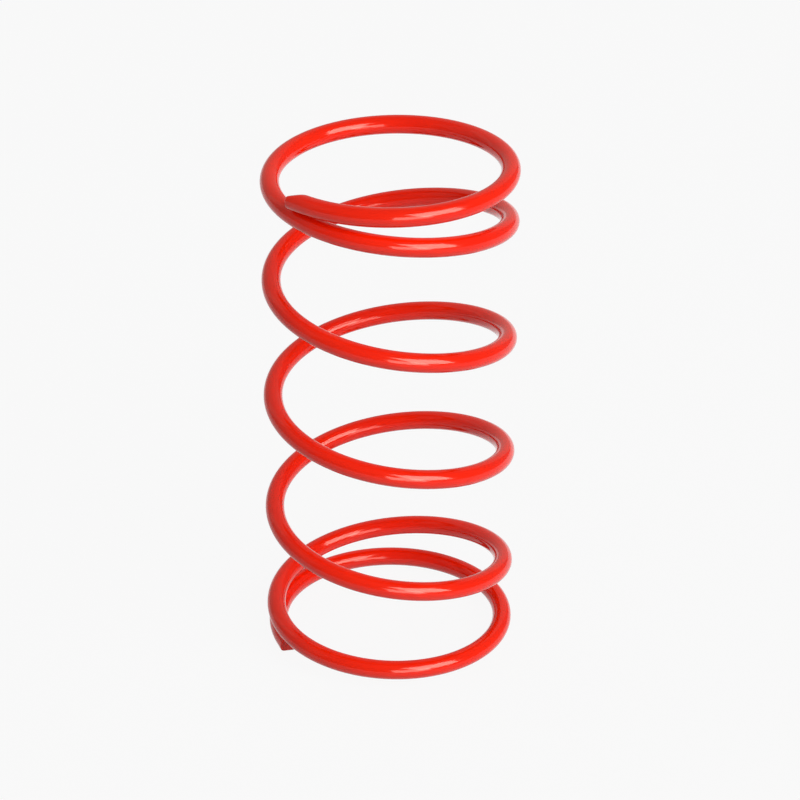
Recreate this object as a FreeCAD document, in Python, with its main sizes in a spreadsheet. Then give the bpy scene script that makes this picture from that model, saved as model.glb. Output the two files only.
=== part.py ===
import FreeCAD, Part

import math
import os

# Helical compression spring: one length of round wire, coiled left-handed, with closed ends that are
# not ground and are sheared off. A baked coat covers the wire, and its sizes are taken over it.
#
# Frame: +Z is the coil's axis and the origin lies on it, level with the ground that the spring stands
# on. -Y is the front: both tips are at the left of it.

DIMENSIONS = (
    # alias, value, what it is (lengths in mm, angles in degrees)
    ("wire_diameter", 4.0, "round wire, over its coat"),
    ("outer_diameter", 53.4, "outside of the coils"),
    ("free_length", 111.5, "whole height, unloaded"),
    ("total_turns", 5.966, "turns of wire from tip to tip"),
    ("opening_turns", 1.5, "turns from a tip to where the pitch is full"),
    ("bend_turns", 0.4, "turns over which a tip's own bend runs out"),
    ("bend_share", 0.43, "share of the bottom end turn's drop that is in the tip's bend"),
    ("bottom_tuck", 0.6, "how far its bend takes the bottom tip inwards"),
    ("top_flare", 0.8, "how far its bend takes the top tip outwards"),
    ("straight_tip", 3.0, "last of the wire at each tip, which is straight"),
    ("seat_gap", 0.08, "left, about, between a tip and the coil that it closes on"),
    ("bottom_tip_bearing", 207.1, "where the bottom tip is, counterclockwise from +X"),
    ("facet_angle", 22.0, "between the wire and the facet that the shears leave along its tip"),
    ("bottom_facet_reach", 1.8, "how far the bottom tip's facet runs back along the wire"),
    ("bottom_facet_side", -84.0, "where it is round the wire, from outwards towards up"),
    ("top_facet_reach", 2.9, "how far the top tip's facet runs back along the wire"),
    ("top_facet_side", 106.0, "where it is round the wire, from outwards towards up"),
    ("rim_rounding", 0.3, "round that the coat leaves on the rim of a cut end"),
)

ARC_PAIRS_PER_TURN = 6


def add_dimensions(doc):
    """The sheet that holds the driving dimensions, one to a row, each with its alias."""
    sheet = doc.addObject("Spreadsheet::Sheet", "Dimensions")
    for row, (alias, value, meaning) in enumerate(DIMENSIONS, start=1):
        sheet.set("A%d" % row, alias)
        sheet.set("B%d" % row, str(value))
        sheet.set("C%d" % row, meaning)
        sheet.setAlias("B%d" % row, alias)
    doc.recompute()
    return sheet


# The wire's pitch is given at a few stations and changes evenly between them.

def end_stations(sheet, full_pitch, bend_share, tip_offset):
    """Turn and pitch at the stations of one end, counted from its tip.

    A tip bears on the coil one turn in, a little inwards or outwards of it, and the end turn drops by
    what then leaves the gap between the two. The tip's own bend takes its share of that drop. The rest
    comes from the coils' rising pitch, which starts as far before the end of the turn as it needs to
    gain that height.
    """
    seat_drop = math.sqrt((sheet.wire_diameter + sheet.seat_gap) ** 2 - tip_offset ** 2)
    bend_drop = seat_drop * bend_share
    tip_pitch = 2 * bend_drop / sheet.bend_turns
    needed = (seat_drop - bend_drop) / full_pitch
    rising_after_turn = sheet.opening_turns - 1
    rising_in_turn = needed + math.sqrt(needed ** 2 + 2 * needed * rising_after_turn)
    return [
        (0, tip_pitch),
        (sheet.bend_turns, 0),
        (1 - rising_in_turn, 0),
        (sheet.opening_turns, full_pitch),
    ]


def coil_stations(sheet, full_pitch):
    """Turn and pitch at every station, from the bottom tip to the top tip, which doesn't bend down."""
    bottom = end_stations(sheet, full_pitch, sheet.bend_share, sheet.bottom_tuck)
    top = end_stations(sheet, full_pitch, 0, sheet.top_flare)
    return bottom + [(sheet.total_turns - turn, pitch) for turn, pitch in reversed(top)]


def climb(stations, turn):
    """Height gained from the bottom tip to this turn, and the pitch there."""
    height = 0
    for (start, start_pitch), (end, end_pitch) in zip(stations, stations[1:]):
        along = min(turn, end) - start
        pitch = start_pitch + (end_pitch - start_pitch) * along / (end - start)
        height += along * (start_pitch + pitch) / 2
        if turn <= end:
            break
    return height, pitch


def turns_along(sheet, length):
    """The turns that a length of wire takes up."""
    return length / (math.pi * (sheet.outer_diameter - sheet.wire_diameter))


def foot_height(sheet, stations):
    """Height gained up to the inner end of the bottom tip's facet, which is where the spring stands."""
    return climb(stations, turns_along(sheet, sheet.bottom_facet_reach))[0]


def solve_stations(sheet):
    """The stations whose full pitch makes the coil as high as its free length."""
    rise = sheet.free_length - sheet.wire_diameter
    low, high = 0, rise
    while high - low > 1e-9 * rise:
        full_pitch = (low + high) / 2
        stations = coil_stations(sheet, full_pitch)
        if climb(stations, sheet.total_turns)[0] - foot_height(sheet, stations) < rise:
            low = full_pitch
        else:
            high = full_pitch
    return stations


# The centreline is a straight at each tip and, between them, a chain of tangent arcs in pairs that
# start and end on the coil's own curve.

def wire_station(sheet, stations, turn):
    """Place and direction of the wire at this turn from the bottom tip."""
    bottom_bend = max(0, 1 - turn / sheet.bend_turns)
    top_bend = max(0, 1 - (sheet.total_turns - turn) / sheet.bend_turns)
    radius = (
        (sheet.outer_diameter - sheet.wire_diameter) / 2
        - sheet.bottom_tuck * bottom_bend ** 2
        + sheet.top_flare * top_bend ** 2
    )
    outward_per_turn = 2 * (sheet.bottom_tuck * bottom_bend + sheet.top_flare * top_bend) / sheet.bend_turns
    climbed, pitch = climb(stations, turn)
    height = sheet.wire_diameter / 2 + climbed - foot_height(sheet, stations)
    # Left-handed: the azimuth falls as the wire climbs.
    azimuth = math.radians(sheet.bottom_tip_bearing) - 2 * math.pi * turn
    outward = FreeCAD.Vector(math.cos(azimuth), math.sin(azimuth), 0)
    onward = FreeCAD.Vector(math.sin(azimuth), -math.cos(azimuth), 0)
    upward = FreeCAD.Vector(0, 0, 1)
    place = outward * radius + upward * height
    direction = outward * outward_per_turn + onward * (2 * math.pi * radius) + upward * pitch
    return place, direction.normalize()


def corner_arc(start, corner, end):
    """The arc from start to end that is tangent to the two equal legs meeting at the corner."""
    middle = (start + end) * 0.5
    half_chord = (end - start).Length / 2
    depth = (corner - middle).Length
    sagitta = half_chord * ((corner - start).Length - half_chord) / depth
    return Part.Arc(start, middle + (corner - middle) * (sagitta / depth), end).toShape()


def arc_pair(start, start_direction, end, end_direction):
    """Two tangent arcs from one place and direction to another. All four of their legs are equal."""
    chord = end - start
    directions = start_direction + end_direction
    spread = 2 * (1 - start_direction.dot(end_direction))
    reach = chord.dot(directions)
    leg = (math.sqrt(reach ** 2 + spread * chord.dot(chord)) - reach) / spread
    first_corner = start + start_direction * leg
    second_corner = end - end_direction * leg
    meeting = (first_corner + second_corner) * 0.5
    return [corner_arc(start, first_corner, meeting), corner_arc(meeting, second_corner, end)]


def add_centreline(doc, sheet):
    """The wire's centreline, from the bottom tip up."""
    stations = solve_stations(sheet)
    straight_turns = turns_along(sheet, sheet.straight_tip)
    coiled_turns = sheet.total_turns - 2 * straight_turns
    pairs = round(sheet.total_turns * ARC_PAIRS_PER_TURN)
    turns = [straight_turns + coiled_turns * index / pairs for index in range(pairs + 1)]
    places = [wire_station(sheet, stations, turn) for turn in turns]

    first_place, first_direction = places[0]
    last_place, last_direction = places[-1]
    bottom_tip = first_place - first_direction * sheet.straight_tip
    top_tip = last_place + last_direction * sheet.straight_tip
    run = [Part.LineSegment(bottom_tip, first_place).toShape()]
    for start, end in zip(places, places[1:]):
        run += arc_pair(*start, *end)
    run.append(Part.LineSegment(last_place, top_tip).toShape())
    centreline = doc.addObject("Part::Feature", "wire_centreline")
    centreline.Shape = Part.Wire(run)
    return centreline


def add_section(doc, centreline):
    """The wire's round section, square across the bottom end of the centreline."""
    first = centreline.Shape.Edges[0]
    place = first.valueAt(first.FirstParameter)
    direction = first.tangentAt(first.FirstParameter)
    section = doc.addObject("Part::Circle", "wire_section")
    section.setExpression("Radius", "Dimensions.wire_diameter / 2")
    section.Placement = FreeCAD.Placement(place, FreeCAD.Rotation(FreeCAD.Vector(0, 0, 1), direction))
    return section


def add_square_wire(doc, sheet, centreline):
    """The section swept along the centreline: the coil with both ends cut square, and their rims rounded."""
    section = add_section(doc, centreline)
    doc.recompute()
    swept = doc.addObject("Part::Sweep", "swept_wire")
    swept.Sections = [section]
    swept.Spine = (centreline, ["Edge%d" % number for number in range(1, len(centreline.Shape.Edges) + 1)])
    swept.Solid = True
    doc.recompute()

    cut_ends = [face for face in swept.Shape.Faces if isinstance(face.Surface, Part.Plane)]
    rims = [end.Edges[0] for end in cut_ends]
    rim_numbers = [
        number for number, edge in enumerate(swept.Shape.Edges, start=1)
        if any(edge.isSame(rim) for rim in rims)
    ]
    square = doc.addObject("Part::Fillet", "square_ended_wire")
    square.Base = swept
    square.Edges = [(number, sheet.rim_rounding, sheet.rim_rounding) for number in rim_numbers]
    return square


# The shears slant off one side of each tip.

def facet_placement(sheet, tip, end_direction, reach, side_angle, length, width):
    """Where a block of this length and width has its underside on the facet, centred on its inner end."""
    upward = FreeCAD.Vector(0, 0, 1)
    outward = FreeCAD.Vector(tip.x, tip.y, 0)
    outward = (outward - end_direction * outward.dot(end_direction)).normalize()
    skyward = end_direction.cross(outward)
    if skyward.dot(upward) < 0:
        skyward = skyward * -1
    side_turn = math.radians(side_angle)
    side = outward * math.cos(side_turn) + skyward * math.sin(side_turn)
    slant = math.radians(sheet.facet_angle)
    normal = side * math.cos(slant) + end_direction * math.sin(slant)
    along = end_direction * math.cos(slant) - side * math.sin(slant)
    across = normal.cross(along)
    inner_end = tip - end_direction * reach + side * (sheet.wire_diameter / 2)
    corner = inner_end - along * (length / 2) - across * (width / 2)
    return FreeCAD.Placement(corner, FreeCAD.Rotation(along, across, normal, "ZXY"))


def add_facet(doc, sheet, wire, tip, end_direction, where):
    """The wire with the facet of one tip sheared off it. Where is bottom or top."""
    block = doc.addObject("Part::Box", "%s_facet_block" % where)
    block.setExpression("Length", "2 * Dimensions.%s_facet_reach + Dimensions.wire_diameter" % where)
    block.setExpression("Width", "2 * Dimensions.wire_diameter")
    block.setExpression("Height", "Dimensions.wire_diameter")
    doc.recompute()
    reach = sheet.get("%s_facet_reach" % where)
    side_angle = sheet.get("%s_facet_side" % where)
    length, width = block.Length.Value, block.Width.Value
    block.Placement = facet_placement(sheet, tip, end_direction, reach, side_angle, length, width)
    sheared = doc.addObject("Part::Cut", "%s_sheared" % where)
    sheared.Base = wire
    sheared.Tool = block
    return sheared


def add_coil(doc, sheet):
    """The spring: the coiled wire with both of its tips sheared."""
    centreline = add_centreline(doc, sheet)
    square = add_square_wire(doc, sheet, centreline)
    first, last = centreline.Shape.Edges[0], centreline.Shape.Edges[-1]
    bottom_tip = first.valueAt(first.FirstParameter)
    top_tip = last.valueAt(last.LastParameter)
    past_bottom = first.tangentAt(first.FirstParameter) * -1
    past_top = last.tangentAt(last.LastParameter)
    bottom_sheared = add_facet(doc, sheet, square, bottom_tip, past_bottom, "bottom")
    coil = add_facet(doc, sheet, bottom_sheared, top_tip, past_top, "top")
    coil.Label = "coil_spring"
    coil.Placement = FreeCAD.Placement()
    return coil


def check(doc, parts):
    """Stop if an object failed, or if a sub-part isn't one sound solid."""
    for item in doc.Objects:
        if "Invalid" in item.State or "Error" in item.State:
            raise RuntimeError("%s failed: %s" % (item.Label, item.State))
    for part in parts:
        if part.Shape.isNull() or not part.Shape.isValid() or len(part.Shape.Solids) != 1:
            raise RuntimeError("%s isn't one sound solid" % part.Label)


def main():
    doc = FreeCAD.newDocument("CompressionSpring")
    sheet = add_dimensions(doc)
    parts = [add_coil(doc, sheet)]
    doc.recompute()
    check(doc, parts)
    os.makedirs("parts", exist_ok=True)
    for part in parts:
        part.Shape.exportStep("parts/%s.step" % part.Label)


main()
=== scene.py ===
import math

import bmesh
import bpy
from mathutils import Matrix, Vector


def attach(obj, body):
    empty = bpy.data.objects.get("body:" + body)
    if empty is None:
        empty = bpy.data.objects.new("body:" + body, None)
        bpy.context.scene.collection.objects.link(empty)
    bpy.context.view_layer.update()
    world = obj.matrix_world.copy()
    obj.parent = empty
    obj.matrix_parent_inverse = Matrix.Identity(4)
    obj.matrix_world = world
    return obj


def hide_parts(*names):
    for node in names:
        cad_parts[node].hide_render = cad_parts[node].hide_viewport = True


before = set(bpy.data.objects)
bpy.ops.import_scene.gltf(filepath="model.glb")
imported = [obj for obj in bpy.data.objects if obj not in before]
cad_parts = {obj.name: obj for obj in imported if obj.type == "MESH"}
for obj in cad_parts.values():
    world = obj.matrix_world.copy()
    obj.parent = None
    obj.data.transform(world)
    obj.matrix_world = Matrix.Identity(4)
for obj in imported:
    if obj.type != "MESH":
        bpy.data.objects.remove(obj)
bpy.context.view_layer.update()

# A helical compression spring: one round wire, coiled left-handed, with closed ends that are sheared
# off, under a baked coat of glossy red enamel. It stands on its bottom end, its axis along +Z.

MM = 0.001

# The wire and the coil, over the coat, as the solid has them.
WIRE_DIAMETER = 4.0 * MM
OUTER_DIAMETER = 53.4 * MM
FREE_LENGTH = 111.5 * MM
TOTAL_TURNS = 5.966
OPENING_TURNS = 1.5
BEND_TURNS = 0.4
BEND_SHARE = 0.43
BOTTOM_TUCK = 0.6 * MM
TOP_FLARE = 0.8 * MM
STRAIGHT_TIP = 3.0 * MM
SEAT_GAP = 0.08 * MM
BOTTOM_TIP_BEARING = math.radians(207.1)
FACET_ANGLE = math.radians(22)
BOTTOM_FACET_REACH = 1.8 * MM
BOTTOM_FACET_SIDE = math.radians(-84)
TOP_FACET_REACH = 2.9 * MM
TOP_FACET_SIDE = math.radians(106)

WIRE_RADIUS = WIRE_DIAMETER / 2
COIL_RADIUS = (OUTER_DIAMETER - WIRE_DIAMETER) / 2
TURN_LENGTH = math.tau * COIL_RADIUS
WIRE_LENGTH = TOTAL_TURNS * TURN_LENGTH
STRAIGHT_TURNS = STRAIGHT_TIP / TURN_LENGTH

# The coat levels the sheared edges into rounds of this radius.
EDGE_ROUND = 0.35 * MM

# How finely the wire is divided. The rings are close together from each tip to its reach.
RINGS_PER_TURN = 96
SIDES = 64
TIP_REACH = 4.6 * MM
TIP_RING_GAP = 0.12 * MM
MERGE_GAP = 0.001 * MM

# The searches stop at these shares of what they search in.
PITCH_TOLERANCE = 1e-9
SHEAR_TOLERANCE = 1e-5

# The camera, fitted to the photograph. Its angles are in degrees.
IMAGE_WIDTH_PIXELS = 800
FOCAL_LENGTH_PIXELS = 3121.31
SENSOR_WIDTH_MM = 36
CAMERA_DISTANCE = 661.95 * MM
CAMERA_ELEVATION = 27.341
CAMERA_PAN = 0.190
CAMERA_TILT = 0.032
CAMERA_ROLL = 0.122

# The studio, in metres. A softbox's gleam stands in front of its light, because gloss shows only the
# nearest lamp.
FLOOR_RADIUS = 6.0
FLOOR_SIDES = 96
FLOOR_WHITE_SHARE = 0.92
LIGHT_DISTANCE = 1.6
GLEAM_DISTANCE = 1.2


# The wire's pitch is given at a few stations and changes evenly between them.

def end_stations(full_pitch, bend_share, tip_offset):
    """Turn and pitch at the stations of one end, counted from its tip."""
    seat_drop = math.sqrt((WIRE_DIAMETER + SEAT_GAP) ** 2 - tip_offset ** 2)
    bend_drop = seat_drop * bend_share
    tip_pitch = 2 * bend_drop / BEND_TURNS
    needed = (seat_drop - bend_drop) / full_pitch
    rising_in_turn = needed + math.sqrt(needed ** 2 + 2 * needed * (OPENING_TURNS - 1))
    return [(0, tip_pitch), (BEND_TURNS, 0), (1 - rising_in_turn, 0), (OPENING_TURNS, full_pitch)]


def coil_stations(full_pitch):
    """Turn and pitch at every station, from the bottom tip to the top tip, which doesn't bend down."""
    bottom = end_stations(full_pitch, BEND_SHARE, BOTTOM_TUCK)
    top = end_stations(full_pitch, 0, TOP_FLARE)
    return bottom + [(TOTAL_TURNS - turn, pitch) for turn, pitch in reversed(top)]


def climb(stations, turn):
    """Height gained from the bottom tip to this turn, and the pitch there."""
    height = 0
    for (start, start_pitch), (end, end_pitch) in zip(stations, stations[1:]):
        along = min(turn, end) - start
        pitch = start_pitch + (end_pitch - start_pitch) * along / (end - start)
        height += along * (start_pitch + pitch) / 2
        if turn <= end:
            break
    return height, pitch


def foot_height(stations):
    """Height gained up to the inner end of the bottom tip's facet, which is where the spring stands."""
    return climb(stations, BOTTOM_FACET_REACH / TURN_LENGTH)[0]


def solve_stations():
    """The stations whose full pitch makes the coil as high as its free length."""
    rise = FREE_LENGTH - WIRE_DIAMETER
    low, high = 0, rise
    while high - low > PITCH_TOLERANCE * rise:
        full_pitch = (low + high) / 2
        stations = coil_stations(full_pitch)
        if climb(stations, TOTAL_TURNS)[0] - foot_height(stations) < rise:
            low = full_pitch
        else:
            high = full_pitch
    return stations


def wire_place(stations, length):
    """Matrix of the wire's section at this length from the bottom tip: X outwards, Z along the wire."""
    turn = min(max(length / TURN_LENGTH, STRAIGHT_TURNS), TOTAL_TURNS - STRAIGHT_TURNS)
    bottom_bend = max(0, 1 - turn / BEND_TURNS)
    top_bend = max(0, 1 - (TOTAL_TURNS - turn) / BEND_TURNS)
    radius = COIL_RADIUS - BOTTOM_TUCK * bottom_bend ** 2 + TOP_FLARE * top_bend ** 2
    outward_per_turn = 2 * (BOTTOM_TUCK * bottom_bend + TOP_FLARE * top_bend) / BEND_TURNS
    climbed, pitch = climb(stations, turn)
    # Left-handed: the azimuth falls as the wire climbs.
    azimuth = BOTTOM_TIP_BEARING - math.tau * turn
    outward = Vector((math.cos(azimuth), math.sin(azimuth), 0))
    onward = Vector((math.sin(azimuth), -math.cos(azimuth), 0))
    upward = Vector((0, 0, 1))
    along = (outward * outward_per_turn + onward * math.tau * radius + upward * pitch).normalized()
    centre = outward * radius + upward * (WIRE_RADIUS + climbed - foot_height(stations))
    # The wire runs straight on from here to a tip.
    centre += along * (length - turn * TURN_LENGTH)
    across = along.cross(outward).normalized()
    turned = Matrix((across.cross(along), across, along)).transposed()
    return Matrix.Translation(centre) @ turned.to_4x4()


# The wire, first straight, then sheared, then coiled.

def even_steps(start, end, gap):
    """Numbers from after start to end, evenly apart and no further than the gap."""
    count = math.ceil(abs(end - start) / gap)
    return [start + (end - start) * step / count for step in range(1, count + 1)]


def wire_profile():
    """Radius and length of the straight wire's rings, from the middle of one cut end to the other."""
    across_end = [(radius, 0) for radius in even_steps(0, WIRE_RADIUS, TIP_RING_GAP)]
    fine = [(WIRE_RADIUS, length) for length in even_steps(0, TIP_REACH, TIP_RING_GAP)]
    first_end = [(0, 0)] + across_end + fine
    last_end = [(radius, WIRE_LENGTH - length) for radius, length in reversed(first_end)]
    ring_gap = TURN_LENGTH / RINGS_PER_TURN
    middle = [(WIRE_RADIUS, length) for length in even_steps(TIP_REACH, WIRE_LENGTH - TIP_REACH, ring_gap)]
    return first_end + middle + last_end[1:]


def straight_wire():
    """The wire before it is coiled, cut square at both ends: its profile spun about +Z."""
    mesh = bmesh.new()
    verts = [mesh.verts.new((radius, 0, length)) for radius, length in wire_profile()]
    edges = [mesh.edges.new(pair) for pair in zip(verts, verts[1:])]
    bmesh.ops.spin(
        mesh, geom=verts + edges, cent=(0, 0, 0), axis=(0, 0, 1), angle=math.tau, steps=SIDES, use_merge=True
    )
    bmesh.ops.remove_doubles(mesh, verts=mesh.verts, dist=MERGE_GAP)
    bmesh.ops.recalc_face_normals(mesh, faces=mesh.faces)
    return mesh


def room_inside(point, tip, past_tip, facet_reach, facet_side):
    """How far inside the sheared and coated tip this point of the straight wire is, or less than 0."""
    side = Vector((math.cos(facet_side), math.sin(facet_side), 0))
    facet = side * math.cos(FACET_ANGLE) + past_tip * math.sin(FACET_ANGLE)
    facet_end = tip - past_tip * facet_reach + side * WIRE_RADIUS
    walls = (
        math.hypot(point.x, point.y) - WIRE_RADIUS,
        (point - tip).dot(past_tip),
        (point - facet_end).dot(facet),
    )
    return EDGE_ROUND - math.hypot(*(max(0, wall + EDGE_ROUND) for wall in walls))


def shear_tip(mesh, tip, past_tip, facet_reach, facet_side):
    """Draws the points of one end back towards the wire's middle until they lie on the sheared tip."""
    core = tip - past_tip * TIP_REACH
    for vert in mesh.verts:
        if (vert.co - core).dot(past_tip) <= 0:
            continue
        near, far = 0, 1
        while far - near > SHEAR_TOLERANCE:
            middle = (near + far) / 2
            if room_inside(core.lerp(vert.co, middle), tip, past_tip, facet_reach, facet_side) > 0:
                near = middle
            else:
                far = middle
        vert.co = core.lerp(vert.co, far)


def coil_wire():
    """The whole wire as one closed mesh.

    The attribute straight_wire keeps each point's place on the wire before it was coiled.
    """
    mesh = straight_wire()
    up, down = Vector((0, 0, 1)), Vector((0, 0, -1))
    shear_tip(mesh, Vector((0, 0, 0)), down, BOTTOM_FACET_REACH, BOTTOM_FACET_SIDE)
    shear_tip(mesh, Vector((0, 0, WIRE_LENGTH)), up, TOP_FACET_REACH, TOP_FACET_SIDE)

    stations = solve_stations()
    straight = mesh.verts.layers.float_vector.new("straight_wire")
    for vert in mesh.verts:
        vert[straight] = vert.co
        vert.co = wire_place(stations, vert.co.z) @ Vector((vert.co.x, vert.co.y, 0))
    for face in mesh.faces:
        face.smooth = True
    return finished_piece("coil_wire", mesh)


def finished_piece(name, mesh):
    data = bpy.data.meshes.new(name)
    mesh.to_mesh(data)
    mesh.free()
    piece = bpy.data.objects.new(name, data)
    bpy.context.scene.collection.objects.link(piece)
    return piece


# Materials.

def colour(hex_code):
    """The linear colour of an sRGB hex code."""
    channels = [int(hex_code[start:start + 2], 16) / 255 for start in (0, 2, 4)]
    linear = [c / 12.92 if c <= 0.04045 else ((c + 0.055) / 1.055) ** 2.4 for c in channels]
    return (*linear, 1)


def node(tree, kind, sockets=None, **settings):
    """Adds a node. A socket that is given another node's output is linked to it, and others are set."""
    added = tree.nodes.new(kind)
    for name, value in settings.items():
        setattr(added, name, value)
    for socket, value in (sockets or {}).items():
        if isinstance(value, bpy.types.NodeSocket):
            tree.links.new(value, added.inputs[socket])
        else:
            added.inputs[socket].default_value = value
    return added


def new_material(name):
    material = bpy.data.materials.new(name)
    material.use_nodes = True
    material.node_tree.nodes.clear()
    return material, material.node_tree


def calculated(tree, operation, *values):
    inputs = dict(enumerate(values))
    return node(tree, "ShaderNodeMath", inputs, operation=operation).outputs[0]


def noise(tree, place, gap, detail, roughness=0.5):
    """Noise from 0 to 1 whose swells are this gap apart."""
    sockets = {"Vector": place, "Scale": 1 / gap, "Detail": detail, "Roughness": roughness}
    return node(tree, "ShaderNodeTexNoise", sockets).outputs["Fac"]


def ranged(tree, value, from_min, from_max, to_min=0, to_max=1, interpolation="LINEAR"):
    """The value taken from one range to another, and kept inside it."""
    sockets = {"Value": value, "From Min": from_min, "From Max": from_max, "To Min": to_min, "To Max": to_max}
    return node(tree, "ShaderNodeMapRange", sockets, interpolation_type=interpolation).outputs[0]


def blended(tree, share, first, second):
    """The colour between these two, by the share of the second."""
    # Sockets 6 and 7 are the mix's two colours, and output 2 is the colour that it gives.
    return node(tree, "ShaderNodeMix", {"Factor": share, 6: first, 7: second}, data_type="RGBA").outputs[2]


def raised(tree, height, depth, under=None):
    """The surface under it, raised by this depth where the height is 1."""
    sockets = {"Height": height, "Distance": depth}
    if under is not None:
        sockets["Normal"] = under
    return node(tree, "ShaderNodeBump", sockets).outputs[0]


def stoved_red_enamel():
    """Alkyd enamel, dipped and baked on the coiled wire.

    The eye gets a deep, glossy orange-red. The lengthwise lines of the drawn wire under it break its
    highlights into streaks, and its orange peel makes them waver. Where the coat ran thick it is deeper
    and duller, a few dust nibs are baked into it, and it is thin, dull and grainy on the sheared ends.
    """
    material, tree = new_material("stoved_red_enamel")
    wire = node(tree, "ShaderNodeAttribute", attribute_name="straight_wire").outputs["Vector"]

    # 1 on the sheared ends and facets, and fading to 0 over 0.2 mm just inside their edges.
    cross_section = node(tree, "ShaderNodeMapping", {"Vector": wire, "Scale": (1, 1, 0)}).outputs[0]
    from_middle = node(tree, "ShaderNodeVectorMath", {0: cross_section}, operation="LENGTH").outputs["Value"]
    sheared = ranged(tree, from_middle, WIRE_RADIUS - 0.05 * MM, WIRE_RADIUS - 0.25 * MM)

    # Draw lines, which run along the wire. The coat fills them to this depth.
    line_gap, line_length, line_depth = 0.9 * MM, 50 * MM, 0.0025 * MM
    stretch = (1, 1, line_gap / line_length)
    drawn_out = node(tree, "ShaderNodeMapping", {"Vector": wire, "Scale": stretch}).outputs[0]
    draw_lines = noise(tree, drawn_out, line_gap, detail=1, roughness=0.4)
    surface = raised(tree, draw_lines, line_depth)

    # Orange peel, from one swell to the next and from trough to crest.
    peel_gap, peel_depth = 1.3 * MM, 0.003 * MM
    surface = raised(tree, noise(tree, wire, peel_gap, detail=0), peel_depth, surface)

    # Dust nibs, each in a cell of its own.
    nib_cell, nib_radius, nib_height = 3.2 * MM, 0.192 * MM, 0.02 * MM
    from_nib = node(tree, "ShaderNodeTexVoronoi", {"Vector": wire, "Scale": 1 / nib_cell}).outputs["Distance"]
    nibs = ranged(tree, from_nib, 0, nib_radius / nib_cell, 1, 0, interpolation="SMOOTHSTEP")
    surface = raised(tree, nibs, nib_height, surface)

    # The torn grain of the sheared steel, under the coat.
    grain_gap, grain_depth = 0.35 * MM, 0.012 * MM
    torn = calculated(tree, "MULTIPLY", noise(tree, wire, grain_gap, detail=2), sheared)
    surface = raised(tree, torn, grain_depth, surface)

    # The coat ran thicker and thinner along the wire, and is duller where it is thick or sheared.
    run_gap, sheared_dullness = 9 * MM, 0.15
    thickness = ranged(tree, noise(tree, wire, run_gap, detail=2), 0.3, 0.7)
    coat_red = blended(tree, thickness, colour("FC2504"), colour("F82003"))
    red = blended(tree, sheared, coat_red, colour("DC2410"))
    coat_roughness = ranged(tree, thickness, 0, 1, 0.07, 0.13)
    roughness = calculated(tree, "MULTIPLY_ADD", sheared, sheared_dullness, coat_roughness)

    # An index of 1.4, a little under the usual one, keeps the white floor in its gloss from paling it.
    enamel = {"Base Color": red, "Roughness": roughness, "IOR": 1.4, "Normal": surface}
    shader = node(tree, "ShaderNodeBsdfPrincipled", enamel)
    node(tree, "ShaderNodeOutputMaterial", {"Surface": shader.outputs[0]})
    return material


def pale_studio_floor():
    """Matt pale paper, which is the white background too.

    The eye gets plain white with a faint shadow, and gloss and clear things show the same white. What
    the paper throws back on the spring is the light of a pale grey.
    """
    material, tree = new_material("pale_studio_floor")
    ray = node(tree, "ShaderNodeLightPath").outputs
    seen = calculated(tree, "MAXIMUM", ray["Is Camera Ray"], ray["Is Glossy Ray"])
    seen_or_through = calculated(tree, "MAXIMUM", seen, ray["Is Transmission Ray"])
    share = calculated(tree, "MULTIPLY", seen_or_through, FLOOR_WHITE_SHARE)
    paper = node(tree, "ShaderNodeBsdfDiffuse", {"Color": colour("A8A8A8")}).outputs[0]
    white = node(tree, "ShaderNodeEmission", {"Color": colour("FFFFFF"), "Strength": 1}).outputs[0]
    mixed = node(tree, "ShaderNodeMixShader", {0: share, 1: paper, 2: white}).outputs[0]
    node(tree, "ShaderNodeOutputMaterial", {"Surface": mixed})
    return material


# The studio.

def add_floor():
    mesh = bmesh.new()
    bmesh.ops.create_circle(mesh, cap_ends=True, segments=FLOOR_SIDES, radius=FLOOR_RADIUS)
    floor = finished_piece("studio_floor", mesh)
    floor.data.materials.append(pale_studio_floor())


def add_world(strength):
    world = bpy.data.worlds.new("studio")
    world.use_nodes = True
    background = world.node_tree.nodes["Background"]
    background.inputs["Color"].default_value = colour("FFFFFF")
    background.inputs["Strength"].default_value = strength
    bpy.context.scene.world = world


def from_direction(azimuth, elevation, distance):
    """A point that far from the middle of the spring, its azimuth counted from the front to the right."""
    middle = Vector((0, 0, FREE_LENGTH / 2))
    turn, lift = math.radians(azimuth - 90), math.radians(elevation)
    direction = Vector((math.cos(turn) * math.cos(lift), math.sin(turn) * math.cos(lift), math.sin(lift)))
    return middle + direction * distance


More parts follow.
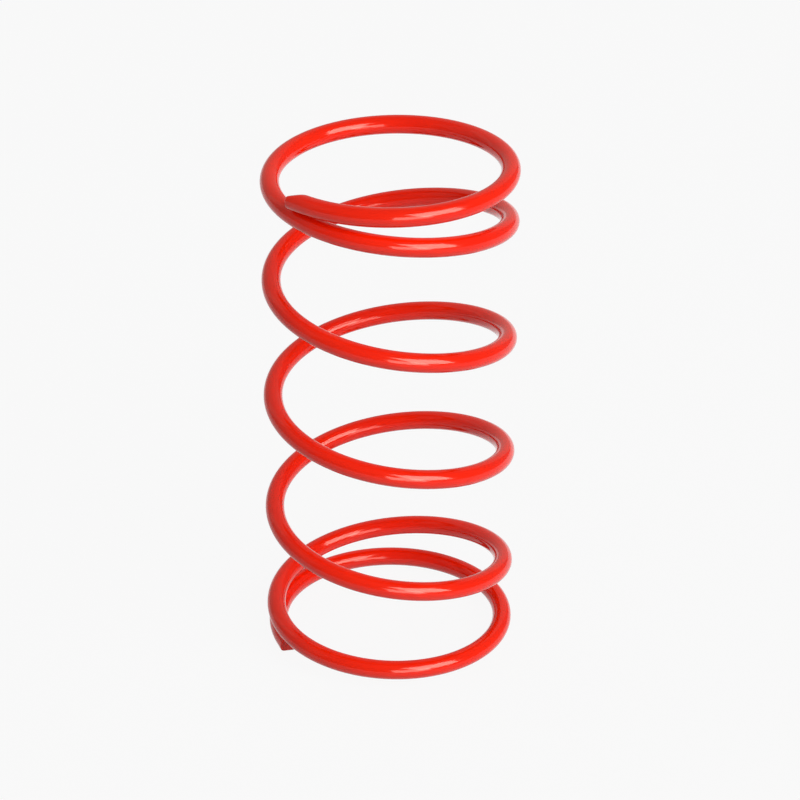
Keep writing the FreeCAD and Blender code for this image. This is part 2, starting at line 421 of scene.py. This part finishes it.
def add_lamp(name, azimuth, elevation, breadth, height, distance, radiance):
    """A rectangular lamp aimed at the spring, its breadth and height in degrees as seen from there."""
    lamp = bpy.data.lights.new(name, "AREA")
    lamp.shape = "RECTANGLE"
    lamp.size = 2 * distance * math.tan(math.radians(breadth / 2))
    lamp.size_y = 2 * distance * math.tan(math.radians(height / 2))
    lamp.energy = radiance * math.pi * lamp.size * lamp.size_y
    holder = bpy.data.objects.new(name, lamp)
    place = from_direction(azimuth, elevation, distance)
    aim = (Vector((0, 0, FREE_LENGTH / 2)) - place).to_track_quat("-Z", "Y")
    holder.matrix_world = Matrix.Translation(place) @ aim.to_matrix().to_4x4()
    holder.visible_camera = False
    bpy.context.scene.collection.objects.link(holder)
    return holder


def add_softbox(name, azimuth, elevation, breadth, height, radiance, gleam):
    """A softbox that lights with one radiance and shows in gloss with another. White is 1."""
    light = add_lamp(name + "_light", azimuth, elevation, breadth, height, LIGHT_DISTANCE, radiance)
    light.visible_glossy = False
    seen = add_lamp(name + "_gleam", azimuth, elevation, breadth, height, GLEAM_DISTANCE, gleam)
    seen.visible_diffuse = False
    seen.data.color = colour("FFFBEB")[:3]


def add_camera():
    """A long lens from the front, looking down on the spring."""
    lens = bpy.data.cameras.new("camera")
    lens.sensor_width = SENSOR_WIDTH_MM
    lens.lens = FOCAL_LENGTH_PIXELS / IMAGE_WIDTH_PIXELS * SENSOR_WIDTH_MM
    camera = bpy.data.objects.new("camera", lens)
    place = from_direction(0, CAMERA_ELEVATION, CAMERA_DISTANCE)
    level = Matrix.Rotation(math.radians(90 - CAMERA_ELEVATION), 4, "X")
    panned = Matrix.Rotation(math.radians(-CAMERA_PAN), 4, "Y")
    tilted = Matrix.Rotation(math.radians(CAMERA_TILT), 4, "X")
    rolled = Matrix.Rotation(math.radians(CAMERA_ROLL), 4, "Z")
    camera.matrix_world = Matrix.Translation(place) @ level @ panned @ tilted @ rolled
    bpy.context.scene.collection.objects.link(camera)
    bpy.context.scene.camera = camera


def main():
    wire = coil_wire()
    wire.data.materials.append(stoved_red_enamel())
    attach(wire, "root")
    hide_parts("coil_spring")

    add_floor()
    add_world(strength=0.24)
    add_softbox("key_window", azimuth=46, elevation=33, breadth=37, height=42, radiance=4.85, gleam=9)
    add_softbox("front_pane", azimuth=21, elevation=3, breadth=33, height=44, radiance=2.1, gleam=6)
    add_softbox("left_fill", azimuth=-95, elevation=25, breadth=60, height=60, radiance=0.2, gleam=0.2)
    add_softbox("back_wall", azimuth=195, elevation=30, breadth=90, height=60, radiance=0.45, gleam=0.25)
    add_camera()
    bpy.context.scene.view_settings.view_transform = "Standard"


main()
